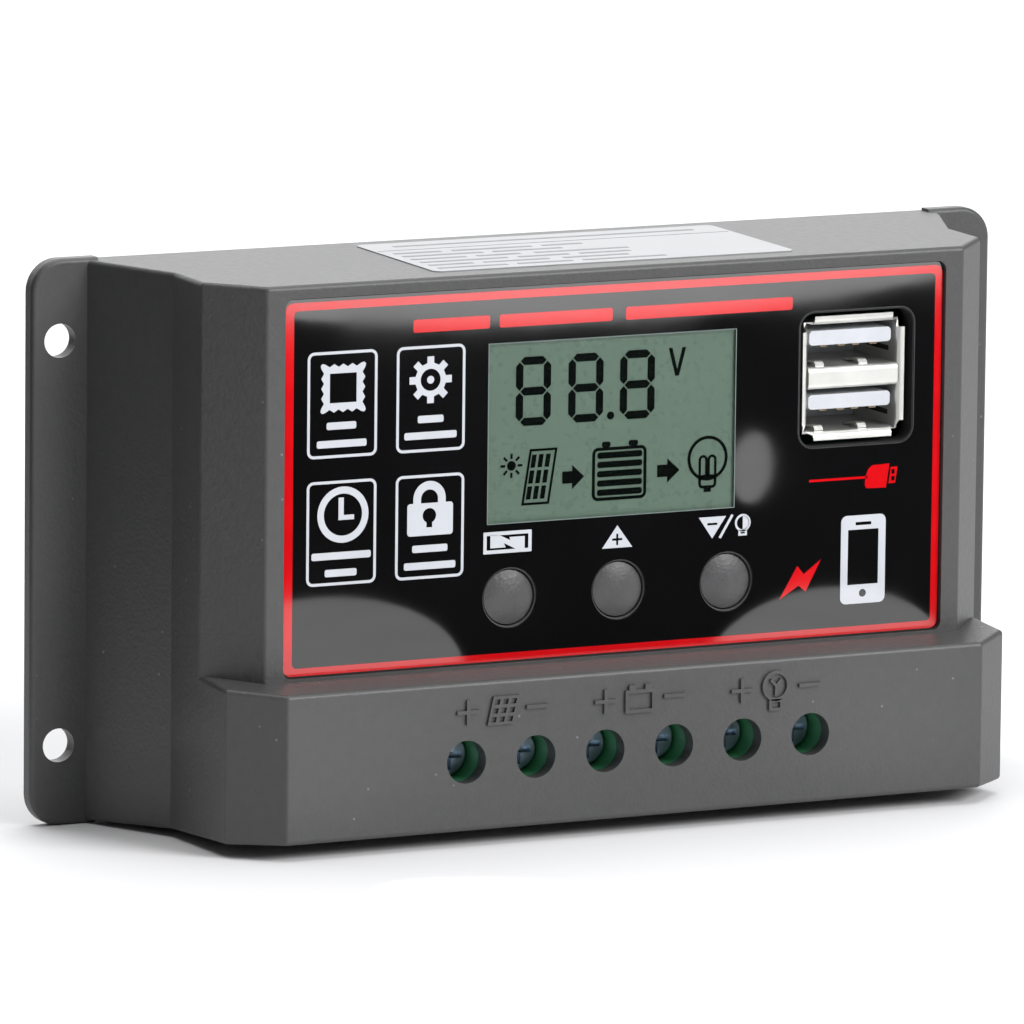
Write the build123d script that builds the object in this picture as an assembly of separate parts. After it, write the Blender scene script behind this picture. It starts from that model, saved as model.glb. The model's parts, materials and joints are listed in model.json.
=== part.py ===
from build123d import *
import os

# Wall-mounted solar charge controller with a display, three buttons, two USB ports and six clamp terminals.
#
# Modelled with X to the right, Y from the front towards the wall and Z up. While it is built, Y = 0 is the
# wall and Z = 0 is the lowest edge of the mounting ears. Every piece is then lowered by half the height, so
# that the origin ends up on the wall, at the centre of the four mounting holes. Millimetres throughout.

# ---------------------------------------------------------------- driving dimensions

WIDTH = 133.5                    # over both mounting ears
HEIGHT = 70.0
DEPTH = 35.0                     # from the wall to the front of the terminal lip
WALL = 2.0                       # moulded wall thickness
ROUNDING = 0.6                   # outer edge rounding of the moulding
CLEAR = 0.05                     # radial running clearance

# plan view of the case, right half: ear root, slanted flank, straight flank, front chamfer, front face
EAR_THICK = 2.0
ROOT_X = 59.4
FLANK_X = 53.8
FLANK_Y = -14.6
FACE_X = 47.9
PANEL_FACE_Y = -28.6
PANEL_SHOULDER_Y = -22.4
LIP_SHOULDER_Y = -29.8

# side view of the case: draft on the top and the bottom, and the sloping ledge over the lip
TOP_BACK_Z = 69.7
TOP_SLOPE = 0.0196
BOTTOM_BACK_Z = 0.3
BOTTOM_SLOPE = 0.0486
LEDGE_Z = 20.83
LEDGE_SLOPE = 0.0766

# mounting ears
EAR_CORNER = 4.0
HOLE_SPACING_X = 126.0
HOLE_SPACING_Z = 50.0
HOLE_RADIUS = 2.1

# front panel: a printed film in a shallow recess
PANEL_X = (-45.5, 45.5)
PANEL_Z = (21.1, 67.5)
PANEL_CORNER = 1.2
FILM_FRONT_Y = -28.0
FILM_BACK_Y = -27.7
FRONT_INNER_Y = -25.7            # inside face of the panel wall

# circuit board
BOARD_FRONT_Y = -14.0
BOARD_BACK_Y = -12.4
BOARD_X = 51.2
BOARD_Z = (3.6, 66.6)

# fastening posts (x, z) on the right half, mirrored to the left
CASE_POST_X = 49.0
CASE_POST_Z = (7.0, 63.2)
CASE_POST_RADIUS = 3.25
BOARD_POSTS = ((40.0, 10.5, -33.5), (45.3, 55.0, -26.2))  # x, z, and how far forward the post reaches
BOARD_POST_RADIUS = 2.6
COVER_PAD_Y = -3.4               # the cover's pads meet the case posts here

# display
DISPLAY_X = -0.65
DISPLAY_Z = 49.4
WINDOW_SIZE = (34.1, 22.2)
GLASS_SIZE = (36.0, 24.0)
BACKLIGHT_SIZE = (39.0, 27.0)
GLASS_Y = (-27.65, -25.4)
BACKLIGHT_Y = (-25.4, -21.9)
DISPLAY_PINS = 15
DISPLAY_PIN_PITCH = 2.0
DISPLAY_PIN_RADIUS = 0.25

# push buttons
BUTTON_PITCH = 15.0
BUTTON_MIDDLE_X = 0.5
BUTTON_XS = (BUTTON_MIDDLE_X - BUTTON_PITCH, BUTTON_MIDDLE_X, BUTTON_MIDDLE_X + BUTTON_PITCH)
BUTTON_Z = 29.1
CAP_RADIUS = 3.35
CAP_GAP = 0.2                    # round each cap in the panel wall
CAP_EDGE_Y = -27.5
CAP_TOP_Y = -28.1
FILM_BUTTON_RADIUS = 3.75
SWITCH_SIZE = 6.0
PLUNGER_RADIUS = 1.7
PLUNGER_TIP_Y = -22.0

# stacked pair of USB sockets
USB_X = 33.35
USB_Z = 53.5
USB_OPENING = (16.1, 16.9)
USB_OPENING_CORNER = 2.0
PORT_RISE = 4.0                  # each port's centre above or below the pair's centre
PORT_SIZE = (12.5, 5.2)
USB_SHEET = 0.35
USB_FLANGE = (14.3, 15.5)
USB_FRONT_Y = -27.2
TONGUE_SIZE = (11.5, 1.8)
TONGUE_OFFSET = 0.9              # the tongue sits above its port's centre
TONGUE_TIP_Y = -26.2
USB_BASE_Y = -16.0
CONTACT_XS = (-3.5, -1.0, 1.0, 3.5)

# clamp terminals
TERMINALS = 6
TERMINAL_PITCH = 9.5
TERMINAL_XS = tuple((index - (TERMINALS - 1) / 2) * TERMINAL_PITCH for index in range(TERMINALS))
TERMINAL_Z = 10.55
ACCESS_RADIUS = 2.65             # screwdriver holes in the lip
TERMINAL_BLOCK_X = 29.2
TERMINAL_BLOCK_Y = (-32.6, -14.0)
TERMINAL_BLOCK_Z = (4.0, 18.2)
HEAD_FRONT_Y = -30.0
HEAD_SEAT_Y = -28.0
HEAD_RADIUS = 2.55
HEAD_BORE_RADIUS = 2.8
SHANK_RADIUS = 1.75
SHANK_TIP_Y = -20.8
CHAMBER_FRONT_Y = -27.2
CAGE_X = 3.6
CAGE_Y = (-24.0, -14.3)
CAGE_Z = (7.0, 14.1)
CAGE_SIDE = 0.75                 # cage wall beside the wire
CAGE_NUT = 1.5                   # thicker cage wall that the screw threads into
CAGE_PLAY = 0.15
BAR_Y = (-20.6, -19.8)
BAR_X = 2.5
WIRE_Y = (-19.8, -15.0)
WIRE_X = 3.0
ENTRY_X = 3.6                    # wire openings in the underside of the case
ENTRY_Y = (-20.8, -14.4)

# rating label on the top
LABEL_X = (-23.5, 26.2)
LABEL_Y = (-24.8, -2.6)
LABEL_THICK = 0.1


# ---------------------------------------------------------------- helpers

def block(x, y, z):
    """A box given by its (low, high) limits along each axis."""
    limits = (x, y, z)
    sides = [high - low for low, high in limits]
    middle = [(high + low) / 2 for low, high in limits]
    return Pos(*middle) * Box(*sides)


def around(centre, size):
    """The (low, high) limits of a size centred on a place."""
    return (centre - size / 2, centre + size / 2)


def rod(x, z, radius, y):
    """A round bar along Y."""
    return Pos(x, (y[0] + y[1]) / 2, z) * Rot(90, 0, 0) * Cylinder(radius, y[1] - y[0])


def rounded_plate(x, y, z, corner):
    """A plate facing the front, with its four corners rounded."""
    return fillet(block(x, y, z).edges().filter_by(Axis.Y), corner)


def joined(solids):
    """Several solids as one node: touching ones fuse, separate ones stay separate."""
    whole, *others = solids
    for other in others:
        whole = whole + other
    return whole


def mirrored(solid):
    """A right-hand solid and its left-hand twin."""
    return [solid, mirror(solid, Plane.YZ)]


def grouped(solids):
    """Identical separate pieces, kept as separate solids in one node."""
    return Compound(solids)


def top_z(y):
    return TOP_BACK_Z + TOP_SLOPE * y


def bottom_z(y):
    return BOTTOM_BACK_Z - BOTTOM_SLOPE * y


def ledge_z(y):
    return LEDGE_Z + LEDGE_SLOPE * (y - PANEL_FACE_Y)


# ---------------------------------------------------------------- case

def plan(shoulder_y, front_y, back_y):
    """The case's outline from above, between its two ears."""
    right = [(ROOT_X, back_y), (ROOT_X, -EAR_THICK), (FLANK_X, FLANK_Y), (FLANK_X, shoulder_y), (FACE_X, front_y)]
    left = [(-x, y) for x, y in reversed(right)]
    return make_face(Polyline(*right, *left, close=True))


def side(front_y, back_y, upper_z, inset):
    """The case's outline from the side, drawn in by inset at the top and the bottom."""
    corners = [
        (back_y, bottom_z(back_y) + inset),
        (front_y, bottom_z(front_y) + inset),
        (front_y, upper_z(front_y) - inset),
        (back_y, upper_z(back_y) - inset),
    ]
    return Plane.YZ * make_face(Polyline(*corners, close=True))


def stretch(outline_from_above, outline_from_side):
    """The solid that has both outlines."""
    upright = extrude(outline_from_above, amount=2 * HEIGHT, both=True)
    across = extrude(outline_from_side, amount=WIDTH, both=True)
    return upright & across


def rounded_body(shoulder_y, front_y, upper_z):
    """A full-width body with every edge rounded except those on the wall plane."""
    body = stretch(plan(shoulder_y, front_y, 0), side(front_y - 1, 1, upper_z, 0))
    edges = body.edges().filter_by(lambda edge: edge.center().Y < -0.01)
    return fillet(edges, ROUNDING)


def hollow(shoulder_y, front_y, inner_front_y, upper_z):
    """The space inside such a body, open at the back."""
    inside = offset(plan(shoulder_y, front_y, 4), amount=-WALL, kind=Kind.INTERSECTION)
    return stretch(inside, side(inner_front_y, 4, upper_z, WALL))


def ear():
    """The right-hand mounting ear with its two holes."""
    outer_x = WIDTH / 2
    plate = block((ROOT_X - 1.5, outer_x), (-EAR_THICK, 0), (0, HEIGHT))
    corners = plate.edges().filter_by(Axis.Y).group_by(Axis.X)[-1]
    plate = fillet(corners, EAR_CORNER)
    front_rim = plate.faces().sort_by(Axis.Y)[0].edges().filter_by(lambda edge: edge.center().X > ROOT_X)
    plate = fillet(front_rim, ROUNDING)
    for z in around(HEIGHT / 2, HOLE_SPACING_Z):
        plate = plate - rod(HOLE_SPACING_X / 2, z, HOLE_RADIUS, (-3, 1))
    return plate


def posts():
    """Screw posts inside the case, with pilot holes: the cover's at the corners and the board's further in."""
    solids = []
    pilots = []
    for z, front in zip(CASE_POST_Z, (-33.5, -26.2)):
        solids += mirrored(rod(CASE_POST_X, z, CASE_POST_RADIUS, (front, COVER_PAD_Y)))
        pilots += mirrored(rod(CASE_POST_X, z, 1.3, (-13.0, COVER_PAD_Y)))
    for x, z, front in BOARD_POSTS:
        solids += mirrored(rod(x, z, BOARD_POST_RADIUS, (front, BOARD_FRONT_Y)))
        pilots += mirrored(rod(x, z, 1.15, (-22.0, BOARD_FRONT_Y)))
    return solids, pilots


def front_shell():
    body = rounded_body(PANEL_SHOULDER_Y, PANEL_FACE_Y, top_z) + rounded_body(LIP_SHOULDER_Y, -DEPTH, ledge_z)
    panel_space = hollow(PANEL_SHOULDER_Y, PANEL_FACE_Y, FRONT_INNER_Y, top_z)
    lip_space = hollow(LIP_SHOULDER_Y, -DEPTH, -DEPTH + WALL, ledge_z)
    post_solids, post_pilots = posts()
    kept_posts = joined(post_solids) & body
    body = body - panel_space - lip_space + kept_posts - joined(post_pilots)
    body = joined([body] + mirrored(ear()))
    body = body - rounded_plate(PANEL_X, (PANEL_FACE_Y - 1, FILM_BACK_Y), PANEL_Z, PANEL_CORNER)
    through = (-DEPTH - 1, FRONT_INNER_Y + 0.5)
    glass_room = 0.4
    body = body - block(
        around(DISPLAY_X, GLASS_SIZE[0] + glass_room), through, around(DISPLAY_Z, GLASS_SIZE[1] + glass_room)
    )
    usb_x, usb_z = around(USB_X, USB_OPENING[0]), around(USB_Z, USB_OPENING[1])
    body = body - rounded_plate(usb_x, through, usb_z, USB_OPENING_CORNER)
    for x in BUTTON_XS:
        body = body - rod(x, BUTTON_Z, CAP_RADIUS + CAP_GAP, through)
    for x in TERMINAL_XS:
        body = body - rod(x, TERMINAL_Z, ACCESS_RADIUS, (-DEPTH - 1, -DEPTH + WALL + 0.2))
        body = body - block((x - ENTRY_X, x + ENTRY_X), ENTRY_Y, (-1, TERMINAL_BLOCK_Z[0]))
    return body


def back_cover():
    """Flat cover inside the case's rim, with a stiffening rib and a countersunk pad over each post."""
    half_width, low, high = 57.0, 2.5, 67.5
    cover = block((-half_width, half_width), (-EAR_THICK, 0), (low, high))
    rib_depth, rib_inset, rib_thick = 1.2, 2.0, 1.2
    rib_y = (-EAR_THICK - rib_depth, -EAR_THICK)
    outer = half_width - rib_inset
    inner = outer - rib_thick
    rib = block((-outer, outer), rib_y, (low + rib_inset, high - rib_inset))
    rib = rib - block(
        (-inner, inner), rib_y, (low + rib_inset + rib_thick, high - rib_inset - rib_thick)
    )
    cover = cover + rib
    for z in CASE_POST_Z:
        for x in (-CASE_POST_X, CASE_POST_X):
            cover = cover + rod(x, z, 4.0, (COVER_PAD_Y, -EAR_THICK))
            cover = cover - rod(x, z, 2.8, (-1.8, 0.5))
            cover = cover - rod(x, z, 1.5, (-4, 0.5))
    return cover


def cross_recess(x, z, length, width, y):
    """The cross-shaped driver recess of a screw head, as a solid to cut away."""
    flat = block(around(x, length), y, around(z, width))
    upright = block(around(x, width), y, around(z, length))
    return flat + upright


def case_screws():
    screws = []
    for z in CASE_POST_Z:
        for x in (-CASE_POST_X, CASE_POST_X):
            screw = rod(x, z, 2.6, (-1.8, -0.2)) + rod(x, z, 1.25, (-12.0, -1.8))
            screws.append(screw - cross_recess(x, z, 3.0, 0.7, (-1.2, 0)))
    return grouped(screws)


def board_screws():
    screws = []
    for post_x, z, _ in BOARD_POSTS:
        for x in (-post_x, post_x):
            screw = rod(x, z, 2.3, (BOARD_BACK_Y, -10.9)) + rod(x, z, 1.1, (-20.0, BOARD_BACK_Y))
            screws.append(screw - cross_recess(x, z, 2.6, 0.6, (-11.8, -10)))
    return grouped(screws)


# ---------------------------------------------------------------- panel and label

def front_overlay():
    """Printed film with openings for the window, the buttons and the USB sockets."""
    edge_gap = 0.15
    film_y = (FILM_FRONT_Y, FILM_BACK_Y)
    film_x = (PANEL_X[0] + edge_gap, PANEL_X[1] - edge_gap)
    film_z = (PANEL_Z[0] + edge_gap, PANEL_Z[1] - edge_gap)
    film = rounded_plate(film_x, film_y, film_z, PANEL_CORNER - edge_gap)
    film = film - block(around(DISPLAY_X, WINDOW_SIZE[0]), film_y, around(DISPLAY_Z, WINDOW_SIZE[1]))
    usb_x, usb_z = around(USB_X, USB_OPENING[0]), around(USB_Z, USB_OPENING[1])
    film = film - rounded_plate(usb_x, film_y, usb_z, USB_OPENING_CORNER)
    for x in BUTTON_XS:
        film = film - rod(x, BUTTON_Z, FILM_BUTTON_RADIUS, film_y)
    return film


def display_window():
    """Clear pane that fills the film's window."""
    return block(
        around(DISPLAY_X, WINDOW_SIZE[0]), (FILM_FRONT_Y, FILM_BACK_Y), around(DISPLAY_Z, WINDOW_SIZE[1])
    )


def top_label():
    """Sticker that lies on the sloping top."""
    front_y, back_y = LABEL_Y
    corners = [
        (front_y, top_z(front_y)),
        (back_y, top_z(back_y)),
        (back_y, top_z(back_y) + LABEL_THICK),
        (front_y, top_z(front_y) + LABEL_THICK),
    ]
    outline = Plane.YZ * make_face(Polyline(*corners, close=True))
    sticker = Pos(LABEL_X[0], 0, 0) * extrude(outline, amount=LABEL_X[1] - LABEL_X[0])
    short_edges = sticker.edges().filter_by(lambda edge: edge.length < 2 * LABEL_THICK)
    return fillet(short_edges, 1.0)


# ---------------------------------------------------------------- display

def lcd_glass():
    return block(around(DISPLAY_X, GLASS_SIZE[0]), GLASS_Y, around(DISPLAY_Z, GLASS_SIZE[1]))


def lcd_backlight():
    return block(around(DISPLAY_X, BACKLIGHT_SIZE[0]), BACKLIGHT_Y, around(DISPLAY_Z, BACKLIGHT_SIZE[1]))


def display_pin_places():
    """Two rows of pins, along the lower and upper edges of the backlight."""
    rise = BACKLIGHT_SIZE[1] / 2 - 1.0
    places = []
    for z in (DISPLAY_Z - rise, DISPLAY_Z + rise):
        for index in range(DISPLAY_PINS):
            places.append((DISPLAY_X + (index - (DISPLAY_PINS - 1) / 2) * DISPLAY_PIN_PITCH, z))
    return places


def lcd_pins():
    return grouped([rod(x, z, DISPLAY_PIN_RADIUS, (BACKLIGHT_Y[1], -11.8)) for x, z in display_pin_places()])


# ---------------------------------------------------------------- push buttons

def button_cap(x):
    """Domed cap with a retaining flange and a stem that grips the switch's plunger."""
    crown = CAP_EDGE_Y - CAP_TOP_Y
    dome_radius = (CAP_RADIUS ** 2 + crown ** 2) / (2 * crown)
    dome = Pos(x, CAP_TOP_Y + dome_radius, BUTTON_Z) * Sphere(dome_radius)
    cap = rod(x, BUTTON_Z, CAP_RADIUS, (CAP_TOP_Y - 1, -25.6)) & dome
    cap = cap + rod(x, BUTTON_Z, 4.2, (-25.6, -24.8))
    cap = cap + rod(x, BUTTON_Z, 2.6, (-24.8, -19.5))
    return cap - rod(x, BUTTON_Z, PLUNGER_RADIUS + CLEAR, (PLUNGER_TIP_Y, -19.0))


def switch_plunger(x):
    shaft = rod(x, BUTTON_Z, PLUNGER_RADIUS, (PLUNGER_TIP_Y, -16.5))
    return shaft + rod(x, BUTTON_Z, 2.1, (-16.5, -16.2))


def switch_bases():
    bases = []
    for x in BUTTON_XS:
        base = block(around(x, SWITCH_SIZE), (-16.6, BOARD_FRONT_Y), around(BUTTON_Z, SWITCH_SIZE))
        bases.append(base - rod(x, BUTTON_Z, 2.25, (-17.0, -15.4)))
    return grouped(bases)


def switch_covers():
    covers = []
    for x in BUTTON_XS:
        cover = block(around(x, SWITCH_SIZE), (-17.0, -16.6), around(BUTTON_Z, SWITCH_SIZE))
        covers.append(cover - rod(x, BUTTON_Z, PLUNGER_RADIUS + 1.6 * CLEAR, (-18, -16)))
    return grouped(covers)


def switch_pin_places():
    reach_x, reach_z = SWITCH_SIZE / 2 + 0.35, 2.25
    return [(x + dx, BUTTON_Z + dz) for x in BUTTON_XS for dx in (-reach_x, reach_x) for dz in (-reach_z, reach_z)]


def switch_pins():
    return grouped([block(around(x, 0.5), (-15.5, -11.6), around(z, 0.7)) for x, z in switch_pin_places()])


# ---------------------------------------------------------------- USB sockets

def port_centres():
    return (USB_Z - PORT_RISE, USB_Z + PORT_RISE)


def usb_shell():
    """Folded steel shell with a flared front and a bar between its two ports."""
    outer_width = PORT_SIZE[0] + 2 * USB_SHEET
    outer_height = 2 * PORT_RISE + PORT_SIZE[1] + 2 * USB_SHEET
    depth = (USB_FRONT_Y, BOARD_FRONT_Y)
    shell = block(around(USB_X, outer_width), depth, around(USB_Z, outer_height))
    flange_y = (USB_FRONT_Y, USB_FRONT_Y + 0.4)
    flange = block(around(USB_X, USB_FLANGE[0]), flange_y, around(USB_Z, USB_FLANGE[1]))
    shell = shell + chamfer(flange.edges().filter_by(Axis.Y), 1.5)
    inner_height = 2 * PORT_RISE + PORT_SIZE[1]
    shell = shell - block(around(USB_X, PORT_SIZE[0]), (USB_FRONT_Y - 1, 0), around(USB_Z, inner_height))
    bar_height = 2 * PORT_RISE - PORT_SIZE[1]
    bar = block(around(USB_X, PORT_SIZE[0]), (USB_FRONT_Y, USB_BASE_Y), around(USB_Z, bar_height))
    bar = bar - block(
        around(USB_X, PORT_SIZE[0]), (USB_FRONT_Y + USB_SHEET, 0), around(USB_Z, bar_height - 2 * USB_SHEET)
    )
    shell = shell + bar
    for x, z in usb_leg_places():
        shell = shell + block(around(x, USB_SHEET), (BOARD_FRONT_Y, -11.6), around(z, 1.5))
    return shell


def usb_leg_places():
    reach = PORT_SIZE[0] / 2 + USB_SHEET / 2
    return [(USB_X + dx, USB_Z + dz) for dx in (-reach, reach) for dz in (-4.0, 4.0)]


def usb_contact_places():
    below = TONGUE_OFFSET - TONGUE_SIZE[1] / 2 - 0.15
    return [(USB_X + dx, z + below) for z in port_centres() for dx in CONTACT_XS]


def usb_contacts():
    """Spring strips on the underside of each tongue, which run back through the board."""
    return grouped([block(around(x, 1.0), (-25.8, -11.8), around(z, 0.3)) for x, z in usb_contact_places()])


def usb_insulator():
    """White moulding: the base, the filling between the ports and the two tongues."""
    inner_height = 2 * PORT_RISE + PORT_SIZE[1]
    moulding = block(around(USB_X, PORT_SIZE[0]), (USB_BASE_Y, BOARD_FRONT_Y), around(USB_Z, inner_height))
    filling_height = 2 * PORT_RISE - PORT_SIZE[1] - 2 * USB_SHEET
    moulding = moulding + block(
        around(USB_X, PORT_SIZE[0]), (USB_FRONT_Y + USB_SHEET, USB_BASE_Y), around(USB_Z, filling_height)
    )
    for z in port_centres():
        tongue_z = around(z + TONGUE_OFFSET, TONGUE_SIZE[1])
        moulding = moulding + block(around(USB_X, TONGUE_SIZE[0]), (TONGUE_TIP_Y, USB_BASE_Y), tongue_z)
    for x, z in usb_contact_places():
        moulding = moulding - block(around(x, 1.0), (-25.8, 0), around(z, 0.3))
    return moulding


# ---------------------------------------------------------------- clamp terminals

def terminal_block():
    """Green housing with a chamber, a screw bore and a wire entry for each clamp."""
    housing = block((-TERMINAL_BLOCK_X, TERMINAL_BLOCK_X), TERMINAL_BLOCK_Y, TERMINAL_BLOCK_Z)
    room_x = CAGE_X + CAGE_PLAY
    room_z = (CAGE_Z[0] - CAGE_PLAY, CAGE_Z[1] + CAGE_PLAY)
    back_y = TERMINAL_BLOCK_Y[1]
    for x in TERMINAL_XS:
        housing = housing - rod(x, TERMINAL_Z, HEAD_BORE_RADIUS, (TERMINAL_BLOCK_Y[0], HEAD_SEAT_Y))
        housing = housing - rod(x, TERMINAL_Z, SHANK_RADIUS + CLEAR, (HEAD_SEAT_Y, CHAMBER_FRONT_Y))
        housing = housing - block((x - room_x, x + room_x), (CHAMBER_FRONT_Y, back_y), room_z)
        housing = housing - block((x - WIRE_X, x + WIRE_X), WIRE_Y, (TERMINAL_BLOCK_Z[0], room_z[0]))
        bar_room = (x - BAR_X - CAGE_PLAY, x + BAR_X + CAGE_PLAY)
        housing = housing - block(bar_room, (BAR_Y[0] - CAGE_PLAY, back_y), (room_z[1], 17.1))
    return housing


def terminal_screw(x):
    """Captive clamp screw with a cross recess."""
    head = rod(x, TERMINAL_Z, HEAD_RADIUS, (HEAD_FRONT_Y, HEAD_SEAT_Y - CLEAR))
    head = fillet(head.faces().sort_by(Axis.Y)[0].edges(), 0.3)
    shank = rod(x, TERMINAL_Z, SHANK_RADIUS, (HEAD_SEAT_Y - CLEAR, SHANK_TIP_Y))
    recess = cross_recess(x, TERMINAL_Z, 3.6, 0.8, (HEAD_FRONT_Y, HEAD_FRONT_Y + 1.1))
    return head + shank - recess


def terminal_cage(x):
    """Square clamp cage that the screw draws towards the front, pressing the wire against the bar."""
    cage = block((x - CAGE_X, x + CAGE_X), CAGE_Y, CAGE_Z)
    inner = CAGE_X - CAGE_SIDE
    cage = cage - block((x - inner, x + inner), (CAGE_Y[0] + CAGE_NUT, CAGE_Y[1] - 0.7), CAGE_Z)
    return cage - rod(x, TERMINAL_Z, SHANK_RADIUS + CLEAR, (CAGE_Y[0], CAGE_Y[0] + CAGE_NUT))


def terminal_pin_places():
    return [(x + dx, 16.5) for x in TERMINAL_XS for dx in (-1.5, 1.5)]


def terminal_bars():
    """Fixed contact bars, each bent back to the board on two pins."""
    bars = []
    for x in TERMINAL_XS:
        bar = block((x - BAR_X, x + BAR_X), BAR_Y, (CAGE_Z[0], 16.9))
        bar = bar + block((x - BAR_X, x + BAR_X), (BAR_Y[0], BOARD_FRONT_Y), (16.1, 16.9))
        for dx in (-1.5, 1.5):
            bar = bar + block(around(x + dx, 0.9), (BOARD_FRONT_Y, -11.4), (16.1, 16.9))
        bars.append(bar)
    return grouped(bars)


# ---------------------------------------------------------------- circuit board and its parts

CAPACITORS = ((-36.0, 49.0), (-36.0, 36.0))
CAPACITOR_RADIUS = 4.0
MOSFET_XS = (-36.0, -22.0, -8.0, 6.0)
MOSFET_Z = 49.0
CONTROLLER_PLACE = (-4.0, 49.0)
CONTROLLER_SIZE = 7.0
CONVERTER_PLACE = (21.5, 36.0)
DIODES = ((-43.0, 24.0), (-33.0, 24.0), (42.0, 24.0))
INDUCTOR_PLACE = (34.0, 36.0)
INDUCTOR_SIZE = 12.0
CRYSTAL_PLACE = (9.0, 47.0)
SHUNT_PLACES = ((-20.0, 23.0), (20.0, 23.0))


def circuit_board():
    board = block((-BOARD_X, BOARD_X), (BOARD_FRONT_Y, BOARD_BACK_Y), BOARD_Z)
    through = (BOARD_FRONT_Y, BOARD_BACK_Y)
    notch_x, notch_z = 45.3, 7.1
    for z in ((BOARD_Z[0], BOARD_Z[0] + notch_z), (BOARD_Z[1] - notch_z, BOARD_Z[1])):
        for notch in mirrored(block((notch_x, BOARD_X), through, z)):
            board = board - notch
    holes = [(x, z, 1.3) for post_x, z, _ in BOARD_POSTS for x in (-post_x, post_x)]
    holes += [(x, z, 0.4) for x, z in display_pin_places()]
    holes += [(x, z, 0.6) for x, z in switch_pin_places()]
    holes += [(x, z, 0.9) for x, z in usb_leg_places()]
    holes += [(x, z, 0.65) for x, z in usb_contact_places()]
    holes += [(x, z, 0.75) for x, z in terminal_pin_places()]
    return board - joined([rod(x, z, radius, through) for x, z, radius in holes])


def mosfet_bodies():
    return grouped([block(around(x, 10.0), (BOARD_BACK_Y, -8.0), around(MOSFET_Z, 8.7)) for x in MOSFET_XS])


def mosfet_tabs():
    tab_z = (MOSFET_Z + 4.35, MOSFET_Z + 6.0)
    return grouped([block(around(x, 10.0), (BOARD_BACK_Y, -11.1), tab_z) for x in MOSFET_XS])


def mosfet_leads():
    lead_z = (MOSFET_Z - 7.4, MOSFET_Z - 4.35)
    return grouped(
        [block(around(x + dx, 0.9), (BOARD_BACK_Y, -11.8), lead_z) for x in MOSFET_XS for dx in (-2.5, 0, 2.5)]
    )


def capacitor_cans():
    cans = []
    for x, z in CAPACITORS:
        can = rod(x, z, CAPACITOR_RADIUS, (-25.0, -14.5))
        cans.append(fillet(can.faces().sort_by(Axis.Y)[0].edges(), 0.6))
    return grouped(cans)


def capacitor_bases():
    return grouped([rod(x, z, CAPACITOR_RADIUS - 0.3, (-14.5, BOARD_FRONT_Y)) for x, z in CAPACITORS])


def lead_rows(place, size, count, pitch, height, directions):
    """Short gull-wing leads along the sides of a chip."""
    leads = []
    for index in range(count):
        along = (index - (count - 1) / 2) * pitch
        for sign in (-1, 1):
            for direction in directions:
                if direction == "x":
                    x, z = around(place[0] + sign * (size / 2 + 0.5), 1.0), around(place[1] + along, 0.4)
                else:
                    x, z = around(place[0] + along, 0.4), around(place[1] + sign * (size / 2 + 0.5), 1.0)
                leads.append(block(x, (BOARD_FRONT_Y - height, BOARD_FRONT_Y), z))
    return grouped(leads)


def controller_chip():
    x, z = CONTROLLER_PLACE
    return block(around(x, CONTROLLER_SIZE), (BOARD_FRONT_Y - 1.4, BOARD_FRONT_Y), around(z, CONTROLLER_SIZE))


def controller_leads():
    return lead_rows(CONTROLLER_PLACE, CONTROLLER_SIZE, 8, 0.8, 0.3, ("x", "z"))


def converter_chip():
    x, z = CONVERTER_PLACE
    return block(around(x, 4.0), (BOARD_FRONT_Y - 1.6, BOARD_FRONT_Y), around(z, 5.0))


def converter_leads():
    return lead_rows(CONVERTER_PLACE, 4.0, 4, 1.27, 0.3, ("x",))


def inductor():
    """Shielded choke of the USB supply."""
    x, z = INDUCTOR_PLACE
    core = block(around(x, INDUCTOR_SIZE), (BOARD_FRONT_Y - 6.0, BOARD_FRONT_Y), around(z, INDUCTOR_SIZE))
    return fillet(core.edges().filter_by(Axis.Y), 2.0)


def diodes():
    return grouped([block(around(x, 7.0), (BOARD_FRONT_Y - 2.3, BOARD_FRONT_Y), around(z, 5.9)) for x, z in DIODES])


def crystal():
    x, z = CRYSTAL_PLACE
    can = block(around(x, 11.0), (BOARD_FRONT_Y - 3.5, BOARD_FRONT_Y), around(z, 4.6))
    return fillet(can.edges().filter_by(Axis.Y), 2.2)


def shunts():
    """Flat alloy bridges on the back of the board that measure the current."""
    strips = []
    for x, z in SHUNT_PLACES:
        strip = block(around(x, 12.0), (BOARD_BACK_Y, -10.4), around(z, 3.0))
        strips.append(strip - block(around(x, 7.0), (BOARD_BACK_Y, -11.2), around(z, 3.0)))
    return grouped(strips)


def chip_row(xs, zs, size, height):
    """Small two-ended chips on the front of the board."""
    y = (BOARD_FRONT_Y - height, BOARD_FRONT_Y)
    return grouped([block(around(x, size[0]), y, around(z, size[1])) for x in xs for z in zs])


def chip_resistors():
    return chip_row([-24, -20, -8, -4, 4, 8, 20, 24], (21.5, 24.0), (2.0, 1.25), 0.5)


def chip_capacitors():
    return chip_row([-12, -8, 0, 4, 8], (40.0, 56.5), (2.0, 1.25), 0.9)


# ---------------------------------------------------------------- export

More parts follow.
